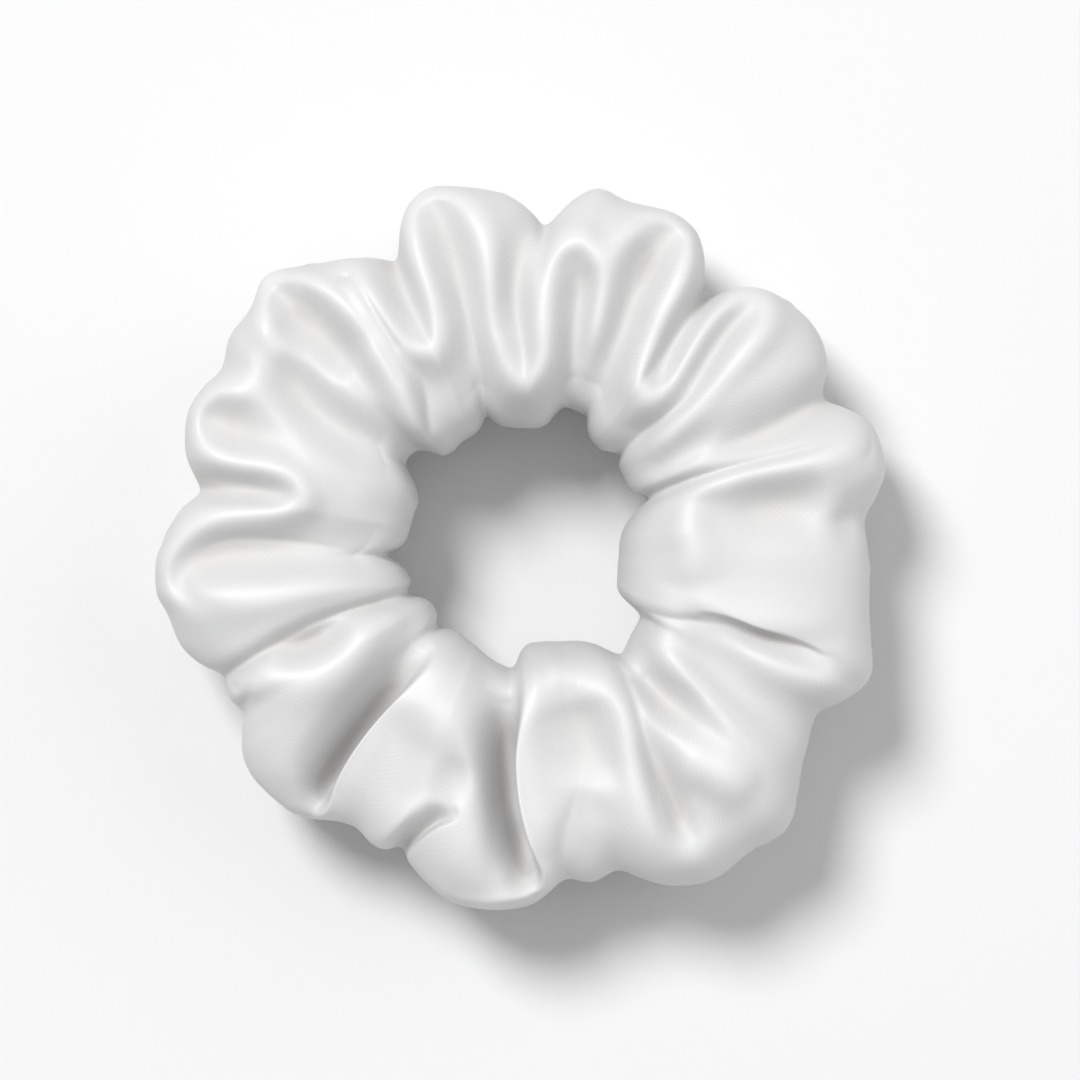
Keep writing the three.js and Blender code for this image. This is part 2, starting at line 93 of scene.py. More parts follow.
# (kind, height or depth mm, half-width mm,
#  [(degrees, mm from the centre, share of the height if not all of it), ...])
FOLDS = [
    (RIDGE, 3.7, 2.8, [(35.5, 23.1, 0.2), (36.6, 26.9, 0.6), (38.2, 31.5, 0.8),
     (39.4, 36.9, 0.95), (40.2, 42.3), (41, 46.9), (42.6, 51.1), (45, 53.2), (47.8, 52.3),
     (49.8, 48.9), (50.4, 44.9), (49.4, 40.8), (47.4, 36.9), (45.4, 33.4), (45.4, 31.1),
     (48, 29.5), (51.5, 30.5), (55, 32.3), (57.4, 35.7), (58.6, 40.3), (58.2, 45.4), (58.8, 50.8),
     (61, 54), (64, 54.9), (67, 54.2), (69.2, 51.5), (70.8, 47.4, 0.9), (71.2, 43.4, 0.85),
     (71, 38.5, 0.8), (70.6, 34.2, 0.7), (71, 29.5, 0.3)]),
    (DEEP, 3, 1.9, [(45, 49.5, 0.5), (45.8, 46.2, 0.9), (45, 41.5), (43.5, 37.7),
     (42.4, 34.2, 0.8), (41.9, 30, 0.6), (42.2, 25.4, 0.5), (42.6, 21.2, 0.4)]),
    (DEEP, 3.8, 1.8, [(53.3, 70.8, 0.3), (53.3, 61.5, 0.66), (53, 55.4, 0.6), (52.9, 48.9, 0.9),
     (52.3, 43.8), (51.6, 38.5), (50.4, 34.2, 0.7)]),
    (POCKET, 4.6, 3, [(65.6, 51.1, 0.6), (65.8, 47.4), (64.8, 41.5), (63.4, 36.2),
     (63.5, 31.5, 0.8), (64, 26.9, 0.6), (65, 23.1, 0.4)]),
    (RIDGE, 3.6, 2.8, [(71.8, 40.3, 0.4), (73.2, 43.7, 0.8), (75.4, 45.5), (78.8, 46.6),
     (82.5, 45.7), (84.6, 42.8), (84.8, 39.2), (84, 35.1), (82.4, 30.8), (82, 28), (84, 25.4),
     (88, 24.2), (91.5, 25.5), (93.8, 28.9), (95.2, 33.1), (95.8, 38.5), (96, 43.8), (97, 49.2),
     (99.5, 53.4), (103.5, 55.1), (107, 53.7), (108.8, 49.5), (109, 44.6), (108.4, 39.2),
     (108.8, 35.4), (111, 32.9), (113.5, 32.2), (116.5, 33.2), (118.8, 35.7), (119.8, 39.7),
     (120.6, 44.6), (121.2, 50, 0.8)]),
    (DEEP, 3.6, 2, [(78, 43.7, 0.5), (76, 40.3, 0.9), (74.8, 36.3), (73.8, 32), (73, 28, 0.8),
     (73, 23.8, 0.6), (73, 20.8, 0.4)]),
    (POCKET, 4, 2.6, [(85.5, 70.8, 0.3), (85.5, 61.5, 0.44), (85.2, 55.4, 0.5), (85.6, 49.5, 0.8),
     (87.6, 44.6), (90, 39.2), (91.4, 34.2, 0.9), (90.5, 30, 0.5)]),
    (POCKET, 3.6, 3, [(103.4, 51.1, 0.7), (102.8, 46.2), (102, 40.3), (101.6, 35.1, 0.9),
     (101.6, 30, 0.7), (102, 25.4, 0.5)]),
    (CREASE, 2.4, 1.3, [(104.2, 43.8, 0.2), (103, 39.2, 0.8), (101.6, 33.1), (101.4, 27.7),
     (102.4, 23.1), (103.2, 19.7)]),
    (POCKET, 4.2, 2.2, [(113.5, 70.8, 0.3), (113.5, 61.5, 0.66), (113, 53.8, 0.7),
     (113, 48.9, 0.9), (113.6, 43.8, 0.8), (114, 39.2, 0.6), (114.2, 36.6, 0.3)]),
    (RIDGE, 1.2, 1, [(122.6, 50.8, 0.5), (122.9, 46.2), (123, 40.8), (122.9, 36.6),
     (123.6, 31.5, 0.9), (126.2, 25.8, 0.7), (129.4, 21.5, 0.4)]),
    (CREASE, 1.1, 0.8, [(124.4, 50.8, 0.3), (124.1, 46.2, 0.9), (124.1, 40.8),
     (124.2, 35.7, 0.9), (125, 30.5, 0.6)]),
    (CREASE, 1.5, 0.7, [(121.2, 50.2, 0.4), (121.2, 44.6, 0.9), (121.2, 39.2, 0.9),
     (121, 35.1, 0.6)]),
    (CREASE, 2.6, 1.5, [(118.6, 30.2, 0.3), (121, 26.5, 0.8), (125.2, 23.1), (129, 20.3),
     (132, 18.2)]),
    (RIDGE, 4.3, 2.5, [(133.2, 18.2, 0.2), (131.6, 20.3, 0.5), (129.6, 23.1, 0.8),
     (127, 28, 0.9), (125.8, 32.6), (125.6, 36.9), (125.6, 41.5), (126.2, 46.2), (127.6, 50.2),
     (130, 53.2), (133, 54.8), (136.4, 53.2), (138.6, 50.5, 0.9), (140.6, 48, 0.5)]),
    (POCKET, 4.6, 3.6, [(132.8, 51.1, 0.7), (132.6, 47.4), (132, 43.1), (131.4, 38.5, 0.9),
     (131, 35.7, 0.3)]),
    (POCKET, 5.8, 2.9, [(142.6, 46.5, 0.3), (143.6, 42.2, 0.9), (145, 37.7), (145.8, 33.8, 0.9),
     (145.6, 28.5, 0.7), (144.4, 23.4, 0.4)]),
    (RIDGE, 1.2, 3.6, [(137.5, 38.5, 0.3), (138, 34.2, 0.8), (138.4, 29.2, 0.8),
     (138.8, 24.6, 0.5)]),
    (RIDGE, 1.5, 3.4, [(142.5, 54.2, 0.3), (143.4, 51.1, 0.9), (145.4, 48), (148.6, 45.2, 0.8),
     (151, 42.5, 0.3)]),
    (CREASE, 1.5, 1.2, [(147.6, 26.5, 0.2), (147.4, 23.1, 0.7), (147.4, 19.7)]),
    (RIDGE, 3.4, 2.5, [(150.4, 44.6, 0.2), (150.8, 47.7, 0.8), (152.4, 50.8), (156.8, 52.6),
     (161, 51.2), (163.4, 47.7), (163.6, 43.1), (162.6, 38.5), (163.2, 34.9), (166.6, 32.9),
     (170.2, 34.5), (172.6, 37.4), (173.8, 41.5), (175.4, 46.6), (179, 51.1), (185, 53.5),
     (189.8, 51.7, 0.9), (191.5, 48.6, 0.6)]),
    (POCKET, 3.6, 3.2, [(157.2, 49.2, 0.8), (156.8, 45.5), (155.4, 41.8, 0.6), (154, 38.5, 0.3)]),
    (RIDGE, 1.5, 4.2, [(156.5, 39.7, 0.2), (157.6, 35.4, 0.9), (158.6, 31.1), (160, 26.5, 0.7)]),
    (DEEP, 3.8, 1.8, [(170.5, 70, 0.3), (170.5, 60.8, 0.66), (170, 53.8, 0.7), (168.8, 49.5),
     (167.6, 44.6), (167.2, 40.3, 0.9), (167.2, 36.9, 0.5)]),
    (POCKET, 4.4, 3.2, [(184.6, 49.8, 0.5), (182.4, 46.8, 0.9), (181, 43.4), (180.4, 39.2),
     (180.4, 34.6), (181, 30, 0.9), (182, 25.4, 0.8), (183.4, 21.5, 0.6), (184.6, 18.2, 0.3)]),
    (CREASE, 3, 1.2, [(181.2, 48.9, 0.3), (178.8, 44.6, 0.8), (178, 39.7), (178.4, 34.2),
     (179.8, 28.9, 0.8), (181.4, 24.9, 0.5), (182.4, 22.3, 0.2)]),
    (RIDGE, 2.6, 3.2, [(187.4, 51.7, 0.5), (189, 47.4, 0.9), (190.4, 42.3), (191.2, 36.9),
     (190.8, 30.8, 0.9), (190.4, 26.2, 0.7), (191, 22.3, 0.4)]),
    (CREASE, 4.6, 1.4, [(205, 70, 0.3), (205, 60.8, 0.88), (204.6, 53.8, 0.8), (203.6, 47.7),
     (202.4, 41.5), (201, 36.2), (200.2, 30.8), (200.8, 25.4), (203, 18.8)]),
    (RIDGE, 1.6, 1.6, [(202.6, 48.9, 0.3), (200.8, 43.1, 0.6), (199, 37.7, 0.9), (198.4, 31.5),
     (198.4, 26.2, 0.8), (200, 20.8, 0.4)]),
    (DEEP, 4.4, 2.2, [(202.8, 40.6, 0.4), (203.8, 37.2, 0.9), (204.2, 33.5), (203.4, 29.8, 0.7),
     (202.6, 26.8, 0.3)]),
    (RIDGE, 2.3, 3.5, [(206, 48.6, 0.6), (207.8, 43.4), (211, 38.8), (213.8, 34.2),
     (213.4, 30.2), (210.6, 26.5), (207.4, 23.1, 0.6)]),
    (DEEP, 3.6, 2.6, [(228, 53.1, 0.2), (227.2, 49.2, 0.5), (226, 44.9, 0.9), (225, 40.3),
     (224.2, 36.3), (224, 32.3, 0.85), (224.2, 28, 0.55), (224.4, 23.8, 0.4), (224.4, 19.2, 0.3)]),
    (GAP, 10.5, 2.2, [(231.4, 52, 0.15), (231.6, 49.2, 0.45), (231.8, 46.2, 0.85), (231.4, 42.3),
     (230.8, 37.7), (230.2, 33.1, 0.9), (229.4, 28.9, 0.7), (228.2, 24.9, 0.4),
     (227, 21.2, 0.15)]),
    (RIDGE, 0.7, 3.2, [(235, 46.2, 0.2), (234, 42.3, 0.6), (233, 36.6, 0.9), (232.4, 31.5),
     (231.6, 26.5, 0.9), (231, 21.5, 0.5)]),
    (POCKET, 3.4, 3.4, [(240.4, 57.2, 0.2), (240.4, 52.6, 0.4), (240.4, 46.2, 0.6),
     (241, 40.3, 0.9), (240.4, 36.2), (237.5, 32.3, 0.9), (234.5, 28.6, 0.4)]),
    (GAP, 3.6, 1.25, [(248.4, 51.5, 0.3), (249.4, 48.9, 0.9), (251.6, 45.8), (254, 43.1, 0.9),
     (256.4, 41.2, 0.3)]),
    (RIDGE, 1.3, 2.4, [(245.4, 50.5, 0.4), (247, 46.9, 0.9), (250, 43.1, 0.9),
     (252.5, 40.3, 0.3)]),
    (POCKET, 2.8, 2.8, [(256, 40.9, 0.3), (255.4, 38.2, 0.9), (254.6, 35.4), (253.4, 32.6, 0.4)]),
    (RIDGE, 2, 5.2, [(250, 34.2, 0.3), (250, 30.5, 0.9), (249, 26.9), (246, 23.1, 0.8)]),
    (DEEP, 3.2, 2.6, [(266.6, 52.6, 0.25), (266.8, 48.9, 0.75), (266.4, 44.3, 0.95),
     (266.2, 39.4), (266.2, 34.5, 0.85), (266.4, 29.2, 0.55), (267.6, 23.1, 0.4)]),
    (GAP, 10.5, 2.2, [(272, 53.2, 0.15), (272.4, 50.5, 0.45), (272.4, 47.4, 0.85),
     (271.6, 44.3), (270.4, 40.3), (269.6, 36.2), (268.6, 31.5, 0.9), (267.9, 27.4, 0.65),
     (267.8, 24, 0.35), (268.4, 20.3, 0.1)]),
    (CREASE, 2, 1, [(267.2, 27.1, 0.3), (267.8, 23.1), (268.8, 18.2)]),
    (RIDGE, 2.2, 1.9, [(257, 53.2, 0.3), (262, 54.5, 0.7), (268, 54, 0.9), (273.6, 51.7),
     (275.4, 46.2), (274, 40.8), (272, 35.7), (270.4, 30.5), (269.8, 25.8, 0.7)]),
    (CREASE, 3, 1.3, [(279, 69.5, 0.3), (279, 60.3, 0.66), (278.8, 54.2, 0.8), (279.4, 50),
     (280.6, 45.4), (282.4, 40.8, 0.9), (285.2, 36.6, 0.5), (288, 33.1, 0.2)]),
    (POCKET, 2.2, 1.8, [(287, 68.5, 0.3), (287, 59.2, 0.66), (287, 53.1, 0.8), (288, 49.2, 0.4)]),
    (RIDGE, 1.7, 3.4, [(286.6, 42.3, 0.3), (289, 38.2, 0.9), (291.6, 34.2, 0.4)]),
    (POCKET, 4.4, 3.5, [(284.4, 37.8, 0.4), (287, 34.6, 0.8), (289.4, 30.8), (291.2, 27.1, 0.9),
     (292, 24.6, 0.3)]),
    (RIDGE, 2.5, 3.6, [(271.6, 31.5, 0.4), (272.4, 26.5, 0.8), (276.6, 22.3), (285, 20.3),
     (293.4, 20.8), (299, 23.4), (301.4, 27.7), (301, 32.3), (299.8, 36.9), (297.2, 42.3),
     (295, 46.9, 0.9), (293.6, 51.5, 0.6), (293, 55.4, 0.2)]),
    (POCKET, 2.6, 2.2, [(303.5, 43.4, 0.4), (304.8, 45.7, 0.9), (306.4, 48, 0.7), (308, 50, 0.3)]),
    (DEEP, 4.8, 1.8, [(300.4, 52.3, 0.2), (300.8, 48.6, 0.8), (301.6, 44.6), (302.4, 40.3),
     (303.6, 36.6, 0.7), (305.4, 33.1, 0.3)]),
    (CREASE, 2.8, 1.2, [(297.4, 48.5, 0.2), (299.2, 43.8, 0.8), (302, 38.5), (305, 33.1),
     (308.4, 28), (311.8, 23.1), (313.6, 21.2)]),
    (RIDGE, 3.3, 4.6, [(313.6, 52.3, 0.2), (313, 49.2, 0.8), (312.2, 46.2), (311, 43.1, 0.8)]),
    (POCKET, 5.6, 2.5, [(317.4, 38.5, 0.3), (316.4, 35.1, 0.8), (314.8, 30.5), (314.8, 26.5, 0.6),
     (315, 24.3, 0.3)]),
    (RIDGE, 2.2, 2.6, [(326.4, 24.6, 0.3), (324, 26.5, 0.8), (322.2, 29.2), (321.4, 33.2),
     (320.6, 38.8), (320, 44.6, 0.95), (319.2, 50, 0.7), (318.4, 54.2, 0.3)]),
    (CREASE, 1.2, 1, [(325.6, 30.2, 0.2), (323.6, 33.8, 0.9), (322.6, 39.2), (322, 44.6, 0.8),
     (321.6, 50, 0.3)]),
    (POCKET, 3.6, 3.4, [(330.6, 68.5, 0.3), (330.6, 59.2, 0.66), (329.6, 53.1, 0.7),
     (328.6, 46.9, 0.9), (329, 40.3), (330.6, 34.6), (332, 31.1, 0.6), (332.8, 29.2, 0.3)]),
    (RIDGE, 1.9, 3.2, [(323, 27.1, 0.3), (326.6, 25.5, 0.9), (332, 25.2), (336.4, 27.1, 0.9),
     (338, 30.5, 0.4)]),
    (RIDGE, 2.4, 4.2, [(340, 55.7, 0.3), (338.2, 52), (336.2, 46.9, 0.95), (335.2, 41.5, 0.8),
     (335.4, 36.2, 0.4)]),
    (DEEP, 1.8, 2.4, [(340, 48.9, 0.4), (339, 44.6, 0.9), (338.4, 40), (337.4, 35.4),
     (336.8, 31.1, 0.9), (335, 26.5, 0.6), (333, 22.8, 0.5)]),
    (GAP, 3.3, 1.4, [(339.2, 51.4, 0.2), (340, 47.7, 0.5), (340.8, 43.1, 0.8), (341, 38.5),
     (340.6, 34.2, 0.8), (338.8, 30.2, 0.4)]),
    (CREASE, 2.4, 1, [(336.6, 56, 0.2), (339, 54.2, 0.8), (340.6, 51.1, 0.8), (341, 48.5, 0.3)]),
    (CREASE, 2.8, 1.1, [(341, 36.2, 0.3), (339.8, 33.5, 0.9), (337.6, 29.2), (334.6, 24.6),
     (331.6, 21.2)]),
    (RIDGE, 2, 2.6, [(345.8, 50.8, 0.3), (345.8, 46.2, 0.8), (345.2, 40), (343.8, 33.8),
     (342, 28.5, 0.8), (339.4, 23.8, 0.4)]),
    (POCKET, 5, 3.4, [(9.8, 32.3, 0.3), (9.4, 36.3, 0.8), (8.8, 40.6), (8.4, 44.6, 0.8),
     (8, 47.4, 0.2)]),
    (POCKET, 3.4, 2.8, [(6, 52.6, 0.6), (5.6, 50.2, 0.9), (6, 48.2, 0.4)]),
    (RIDGE, 2.9, 3, [(14, 55.7, 0.3), (16.2, 52.3, 0.6), (16.8, 46.2, 0.9), (17.6, 39.2),
     (19, 33.1), (19.2, 27.7, 0.7), (18, 23.1, 0.4)]),
    (POCKET, 3, 2, [(22.4, 53.8, 0.3), (20.6, 50, 0.7), (20.4, 44.6, 0.8), (21.2, 38.5, 0.8),
     (22, 33.1, 0.6)]),
    (CREASE, 3.6, 1.2, [(21.6, 53.8, 0.1), (19, 50, 0.6), (18.8, 44.6), (20, 36.9), (21, 30),
     (21.4, 24.6), (20.6, 20)]),
    (DEEP, 3.4, 3, [(26, 69.5, 0.3), (26, 60.3, 0.66), (25.8, 54.2, 0.7), (25, 49.5),
     (24.6, 44.6), (24.6, 40.3, 0.9), (25, 36.9, 0.6)]),
    (RIDGE, 0.7, 3, [(25, 34.6, 0.3), (25.8, 31.4), (26.4, 28, 0.5)]),
    (POCKET, 2, 1.9, [(30.4, 36.9, 0.3), (30, 31.5), (29.6, 26.5), (29.4, 21.8, 0.7)]),
    (RIDGE, 2.2, 3.6, [(33.6, 52.3, 0.3), (34.2, 46.9, 0.6), (35.2, 40.3, 0.9),
     (35.6, 34.2, 0.9), (35.2, 28.5, 0.6)]),
    (CREASE, 2.6, 1.3, [(40.6, 37.7, 0.2), (41, 34.2, 0.8), (41.6, 29.5), (42.2, 24.6),
     (42.6, 20.3)]),
    (RIDGE, 1.8, 0.9, [(204.2, 47.8, 0.6), (205.2, 48.8), (206.6, 48.8), (207.8, 48),
     (207.6, 46.9), (206.4, 46.5, 0.9), (205.2, 46.8, 0.6)]),
    (CREASE, 2, 0.6, [(205.9, 48.2, 0.5), (206.4, 47.5, 0.9), (206.2, 47.1, 0.5)]),
    (CREASE, 2, 0.6, [(209.4, 48.9, 0.4), (209.6, 47.7, 0.9), (209, 46.5, 0.9),
     (207.4, 45.7, 0.4)]),
    (RIDGE, 2.2, 1, [(120.6, 50.3, 0.4), (121.6, 49.4, 0.9), (123, 48.9), (124.4, 49.5, 0.9),
     (124.8, 50.8, 0.4)]),
    (RIDGE, 1, 0.7, [(122.2, 48.2, 0.4), (123.2, 47.5, 0.9), (124.2, 48, 0.4)]),
    (CREASE, 2.8, 0.7, [(120.9, 48.5, 0.3), (122.4, 48.2, 0.9), (124, 48.4, 0.4)]),
    (CREASE, 1, 0.8, [(14, 54.2, 0.3), (15.4, 55.7, 0.9), (18, 56.6, 0.4)]),
    (RIDGE, 2, 3.2, [(17, 27.4, 0.3), (12, 26.6, 0.9), (2, 26.3), (-6, 26.8, 0.9),
     (-13, 28.3, 0.4)]),
    (RIDGE, 1.8, 3.8, [(302, 56.6, 0.5), (300.5, 53.8), (299.6, 51.1, 0.5)]),
]


# ---------------------------------------------------------------- curves and smoothing
def ramp(x, start, run):
    """0 up to start, rising straight to 1 over run."""
    return np.clip((x - start) / run, 0, 1)


def ease(x):
    return x * x * (3 - 2 * x)


def periodic(table, x):
    """Monotone cubic through (degrees, mm) points, round the circle."""
    t = np.array(sorted((a % 360, r) for a, r in table), float)
    angle = np.concatenate([t[-3:, 0] - 360, t[:, 0], t[:3, 0] + 360])
    radius = np.concatenate([t[-3:, 1], t[:, 1], t[:3, 1]])
    gap, tangent = np.diff(angle), np.zeros_like(radius)
    slope = np.diff(radius) / gap
    for i in range(1, len(radius) - 1):
        if slope[i - 1] * slope[i] > 0:
            before, after = 2 * gap[i] + gap[i - 1], gap[i] + 2 * gap[i - 1]
            tangent[i] = (before + after) / (before / slope[i - 1] + after / slope[i])
    x = np.mod(x, 360)
    i = np.clip(np.searchsorted(angle, x) - 1, 0, len(gap) - 1)
    s = (x - angle[i]) / gap[i]
    return (
        (2 * s**3 - 3 * s**2 + 1) * radius[i] + (s**3 - 2 * s**2 + s) * gap[i] * tangent[i]
        + (-2 * s**3 + 3 * s**2) * radius[i + 1] + (s**3 - s**2) * gap[i] * tangent[i + 1]
    )


def smooth_circle(values, spread):
    f = np.fft.rfftfreq(len(values))
    return np.fft.irfft(np.fft.rfft(values) * np.exp(-2 * (np.pi * f * spread) ** 2), len(values))


def smooth_grid(a, along, across):
    """Blur by along/720 of the way round the ring and across/192 of the way round the section."""
    along, across = a.shape[0] / 720 * along, a.shape[1] / 192 * across
    fu, fv = np.fft.fftfreq(a.shape[0])[:, None], np.fft.rfftfreq(a.shape[1])[None, :]
    blur = np.exp(-2 * np.pi**2 * ((fu * along) ** 2 + (fv * across) ** 2))
    return np.fft.irfft2(np.fft.rfft2(a) * blur, a.shape)


def extended(points):
    """The points with one more at each end, carried on straight."""
    return np.vstack([2 * points[0] - points[1], points, 2 * points[-1] - points[-2]])


def smooth_curve(q, each):
    """A smooth curve through all but the end points of q, in each steps per span."""
    rows = []
    for i in range(1, len(q) - 2):
        a, b, c, d = q[i - 1:i + 3]
        for s in np.arange(each) / each:
            rows.append(0.5 * (2 * b + (c - a) * s + (2 * a - 5 * b + 4 * c - d) * s * s
                               + (-a + 3 * b - 3 * c + d) * s**3))
    return np.array(rows + [q[-2]])


# ---------------------------------------------------------------- the tube before its folds
# "angle" is degrees round the ring; "turn" is radians round the section, from 0 (outside)
# over pi/2 (top) to pi (inside)
ROUND = np.arange(3601) * 0.1


def outline(table, spread):
    radius = smooth_circle(periodic(table, ROUND[:-1]), spread)
    return np.append(radius, radius[0])


OUTLINE, OPENING = outline(OUTER, 6), outline(INNER, 8)


def tube(angle):
    """Half-width and centre radius of the tube."""
    outer, inner = (np.interp(np.mod(angle, 360), ROUND, r) for r in (OUTLINE, OPENING))
    return (outer - inner) / 2, (outer + inner) / 2


QUARTER = 5000  # samples in a quarter of the section


def section_tables():
    """The turn and the unit section's way out and up, evenly spaced along each quarter."""
    t = np.linspace(0, 2 * np.pi, 4 * QUARTER + 1)
    full = np.where(np.sin(t) >= 0, TOP_FULL, LOW_FULL)
    out = np.sign(np.cos(t)) * np.abs(np.cos(t)) ** (2 / full)
    up = np.sign(np.sin(t)) * np.abs(np.sin(t)) ** (2 / full)
    rise = np.where(up >= 0, TOP_RISE, LOW_RISE)
    steps = np.hypot(np.diff(out * MEAN_HALF_WIDTH), np.diff(up * rise))
    length = np.concatenate([[0], np.cumsum(steps)])
    turn = np.zeros_like(length)
    for k in range(4):
        a, b = QUARTER * k, QUARTER * (k + 1)
        share = (length[a:b + 1] - length[a]) / (length[b] - length[a])
        turn[a:b + 1] = (k + share) * np.pi / 2
    return turn, out, up


TURNS, OUTS, UPS = section_tables()


def plain_tube(angle, turn):
    """Point and outward normal of the tube before its folds."""
    half, centre = tube(angle)
    turn = np.mod(turn, 2 * np.pi)
    out, up = np.interp(turn, TURNS, OUTS), np.interp(turn, TURNS, UPS)
    rise, full = np.where(up >= 0, TOP_RISE, LOW_RISE), np.where(up >= 0, TOP_FULL, LOW_FULL)
    nr = np.sign(out) * np.abs(out) ** (full - 1) / half
    nz = np.sign(up) * np.abs(up) ** (full - 1) / rise
    n = np.hypot(nr, nz) + 1e-9
    r, z, t = centre + half * out, HEIGHT + rise * up, np.radians(angle)
    return (
        np.stack([r * np.cos(t), r * np.sin(t), z], -1),
        np.stack([nr / n * np.cos(t), nr / n * np.sin(t), nz / n], -1),
    )


def turn_at(angle, radius):
    """The turn of a point of the top; past the outline it carries on down the side."""
    half, centre = tube(angle)
    q = (radius - centre) / half
    top = np.interp(-q, -OUTS[:2 * QUARTER + 1], TURNS[:2 * QUARTER + 1])
    return np.where(q > 1, -(q - 1) * 1.3, np.where(q < -1, np.pi + (-1 - q) * 1.3, top))


# ---------------------------------------------------------------- the folds
UNDER_SHIFT = 9.0  # degrees from the top's folds to the underside's


def fold_line(points, under):
    """A fold's points, resampled as a smooth curve: rows of angle, turn, share."""
    p = np.array([(a, b, c[0] if c else 1.0) for a, b, *c in points], float)
    angle, turn = p[:, 0], turn_at(p[:, 0], p[:, 1])
    if under:
        angle, turn = angle + UNDER_SHIFT, -turn
    q = extended(np.stack([angle, turn, p[:, 2]], -1))
    q[0, 2], q[-1, 2] = q[1, 2], q[-2, 2]
    rows = smooth_curve(q, 6)
    rows[:, 2] = np.clip(rows[:, 2], 0, 1.2)
    return rows


def near_line(x, rows, reach):
    """The points x within reach of a line on the tube: their indices, their distance,
    the line's share at the nearest place, and the way there."""
    line = plain_tube(rows[:, 0], rows[:, 1])[0].astype(np.float32)
    shares = rows[:, 2].astype(np.float32)
    inside = (x > line.min(0) - reach) & (x < line.max(0) + reach)
    index = np.where(np.all(inside, axis=1))[0]
    near = x[index]
    best, share = np.full(len(index), 1e9, np.float32), np.zeros(len(index), np.float32)
    there = np.zeros((len(index), 3), np.float32)
    for i in range(len(line) - 1):
        edge = line[i + 1] - line[i]
        size = float(edge @ edge)
        if size < 1e-9:
            continue
        v = near - line[i]
        t = np.clip((v @ edge) / size, 0, 1)
        v -= t[:, None] * edge
        d = np.einsum("ij,ij->i", v, v)
        closer = d < best
        best[closer] = d[closer]
        share[closer] = (shares[i] + (shares[i + 1] - shares[i]) * t)[closer]
        there[closer] = -v[closer]
    return index, np.sqrt(best), share, there


def merge(field, index, values, power):
    """Add values to the field as a soft maximum."""
    field[index] = (field[index] ** power + values**power) ** (1 / power)


def lay_folds(x, height, under, up, down, cut, lean):
    """Lay the table's folds on the top, or on the underside, into the four fields."""
    if under:  # it isn't seen: it repeats the top's folds, softer
        side, gain, widen = ramp(-height, 0.10, 0.40).astype(np.float32), 0.8, 1.15
    else:
        side, gain, widen = ramp(height, -0.45, 0.40).astype(np.float32), 1.0, 1.0
    leaning = ramp(height, 0.30, 0.40).astype(np.float32)
    for kind, size, width, points in FOLDS:
        w = width * widen
        reach = 9.0 if kind == CREASE else (4.6 if kind == GAP else 2.6) * w
        index, d, share, there = near_line(x, fold_line(points, under), reach)
        a = size * gain * SHARE[kind] * side[index] * share
        if kind == RIDGE:
            merge(up, index, a * np.exp(-((d / (1.18 * w)) ** 2.1)), 4)
        elif kind == CREASE:
            sharp = np.exp(-(np.sqrt(d * d + 0.06) - 0.25) / w)
            merge(cut, index, a * sharp * np.clip(2 - d / 4.5, 0, 1), 3)
        elif kind == POCKET:
            merge(down, index, a * np.exp(-((d / (w * 1.3)) ** 2)), 3)
        elif kind == DEEP:
            v = a / (1 + (d / (w * 1.15)) ** 2) ** 1.6 * np.clip(2.6 - d / w, 0, 1)
            merge(down, index, v, 3)
        else:  # an open fold, steep on its anticlockwise side seen from above
            steep = x[index, 0] * there[:, 1] - x[index, 1] * there[:, 0] < 0
            v = a * np.where(steep, np.exp(-((d / w) ** 4)), np.exp(-((d / (1.9 * w)) ** 2)))
            merge(cut, index, v, 3)
            if not under:
                # and the cloth on that side leans over it
                rise, fade = ramp(d / w, 0.55, 0.7), ramp(d / w, 1.6, 2.9)
                much = LEAN * w * share**1.6 * leaning[index] * steep * ease(rise)
                much = much * (1 - ease(fade))
                pull = there / (d[:, None] + 1e-6) * much[:, None]
                more = much > np.linalg.norm(lean[index], axis=1)
                lean[index[more]] = pull[more]


def lay_line(x, field, line, size, width, power):
    index, d, share, _ = near_line(x, line, 2.6 * width)
    merge(field, index, size * share * np.exp(-((d / width) ** 2)), power)


def lay_gathers(x, up, rng):
    """Small gathers on the wall of the hair opening, below the rim."""
    place = 0.0
    while place < 360:
        line = np.array([
            (place + 1.2 * math.sin(2 * t + place), math.pi + 0.12 + 1.2 * t, math.sin(math.pi * t))
            for t in np.linspace(0, 1, 12)
        ])
        size, width = rng.uniform(0.45, 0.95), rng.uniform(0.9, 1.4)
        lay_line(x, up, line, size, width, power=4)
        place += rng.uniform(6.5, 11.0)


def lay_pleats(x, up, down, rng):
    """Pleats down the outer wall, below its widest place so that the outline stays."""
    place = 3.0
    while place < 360:
        slant, wave, start = rng.uniform(-4.5, 4.5), rng.uniform(0, 6), rng.uniform(0.02, 0.16)
        line = np.array([
            (place + slant * t + 0.9 * math.sin(3 * t + wave), start - 1.3 * t,
             math.sin(math.pi * t) ** 0.8)
            for t in np.linspace(0, 1, 14)
        ])
        size, width = rng.uniform(1.6, 3.3), rng.uniform(1.5, 2.3)
        lay_line(x, down, line, size, width, power=3)
        size, width, beside = rng.uniform(0.8, 1.8), rng.uniform(1.8, 2.9), rng.uniform(3.0, 4.4)
        lay_line(x, up, line + np.array([beside, 0, 0]), size, width, power=3)
        place += rng.uniform(7.5, 13.5)


SOFT, CLEAR = 2.0, 0.02  # cloth below SOFT flattens towards CLEAR above the floor


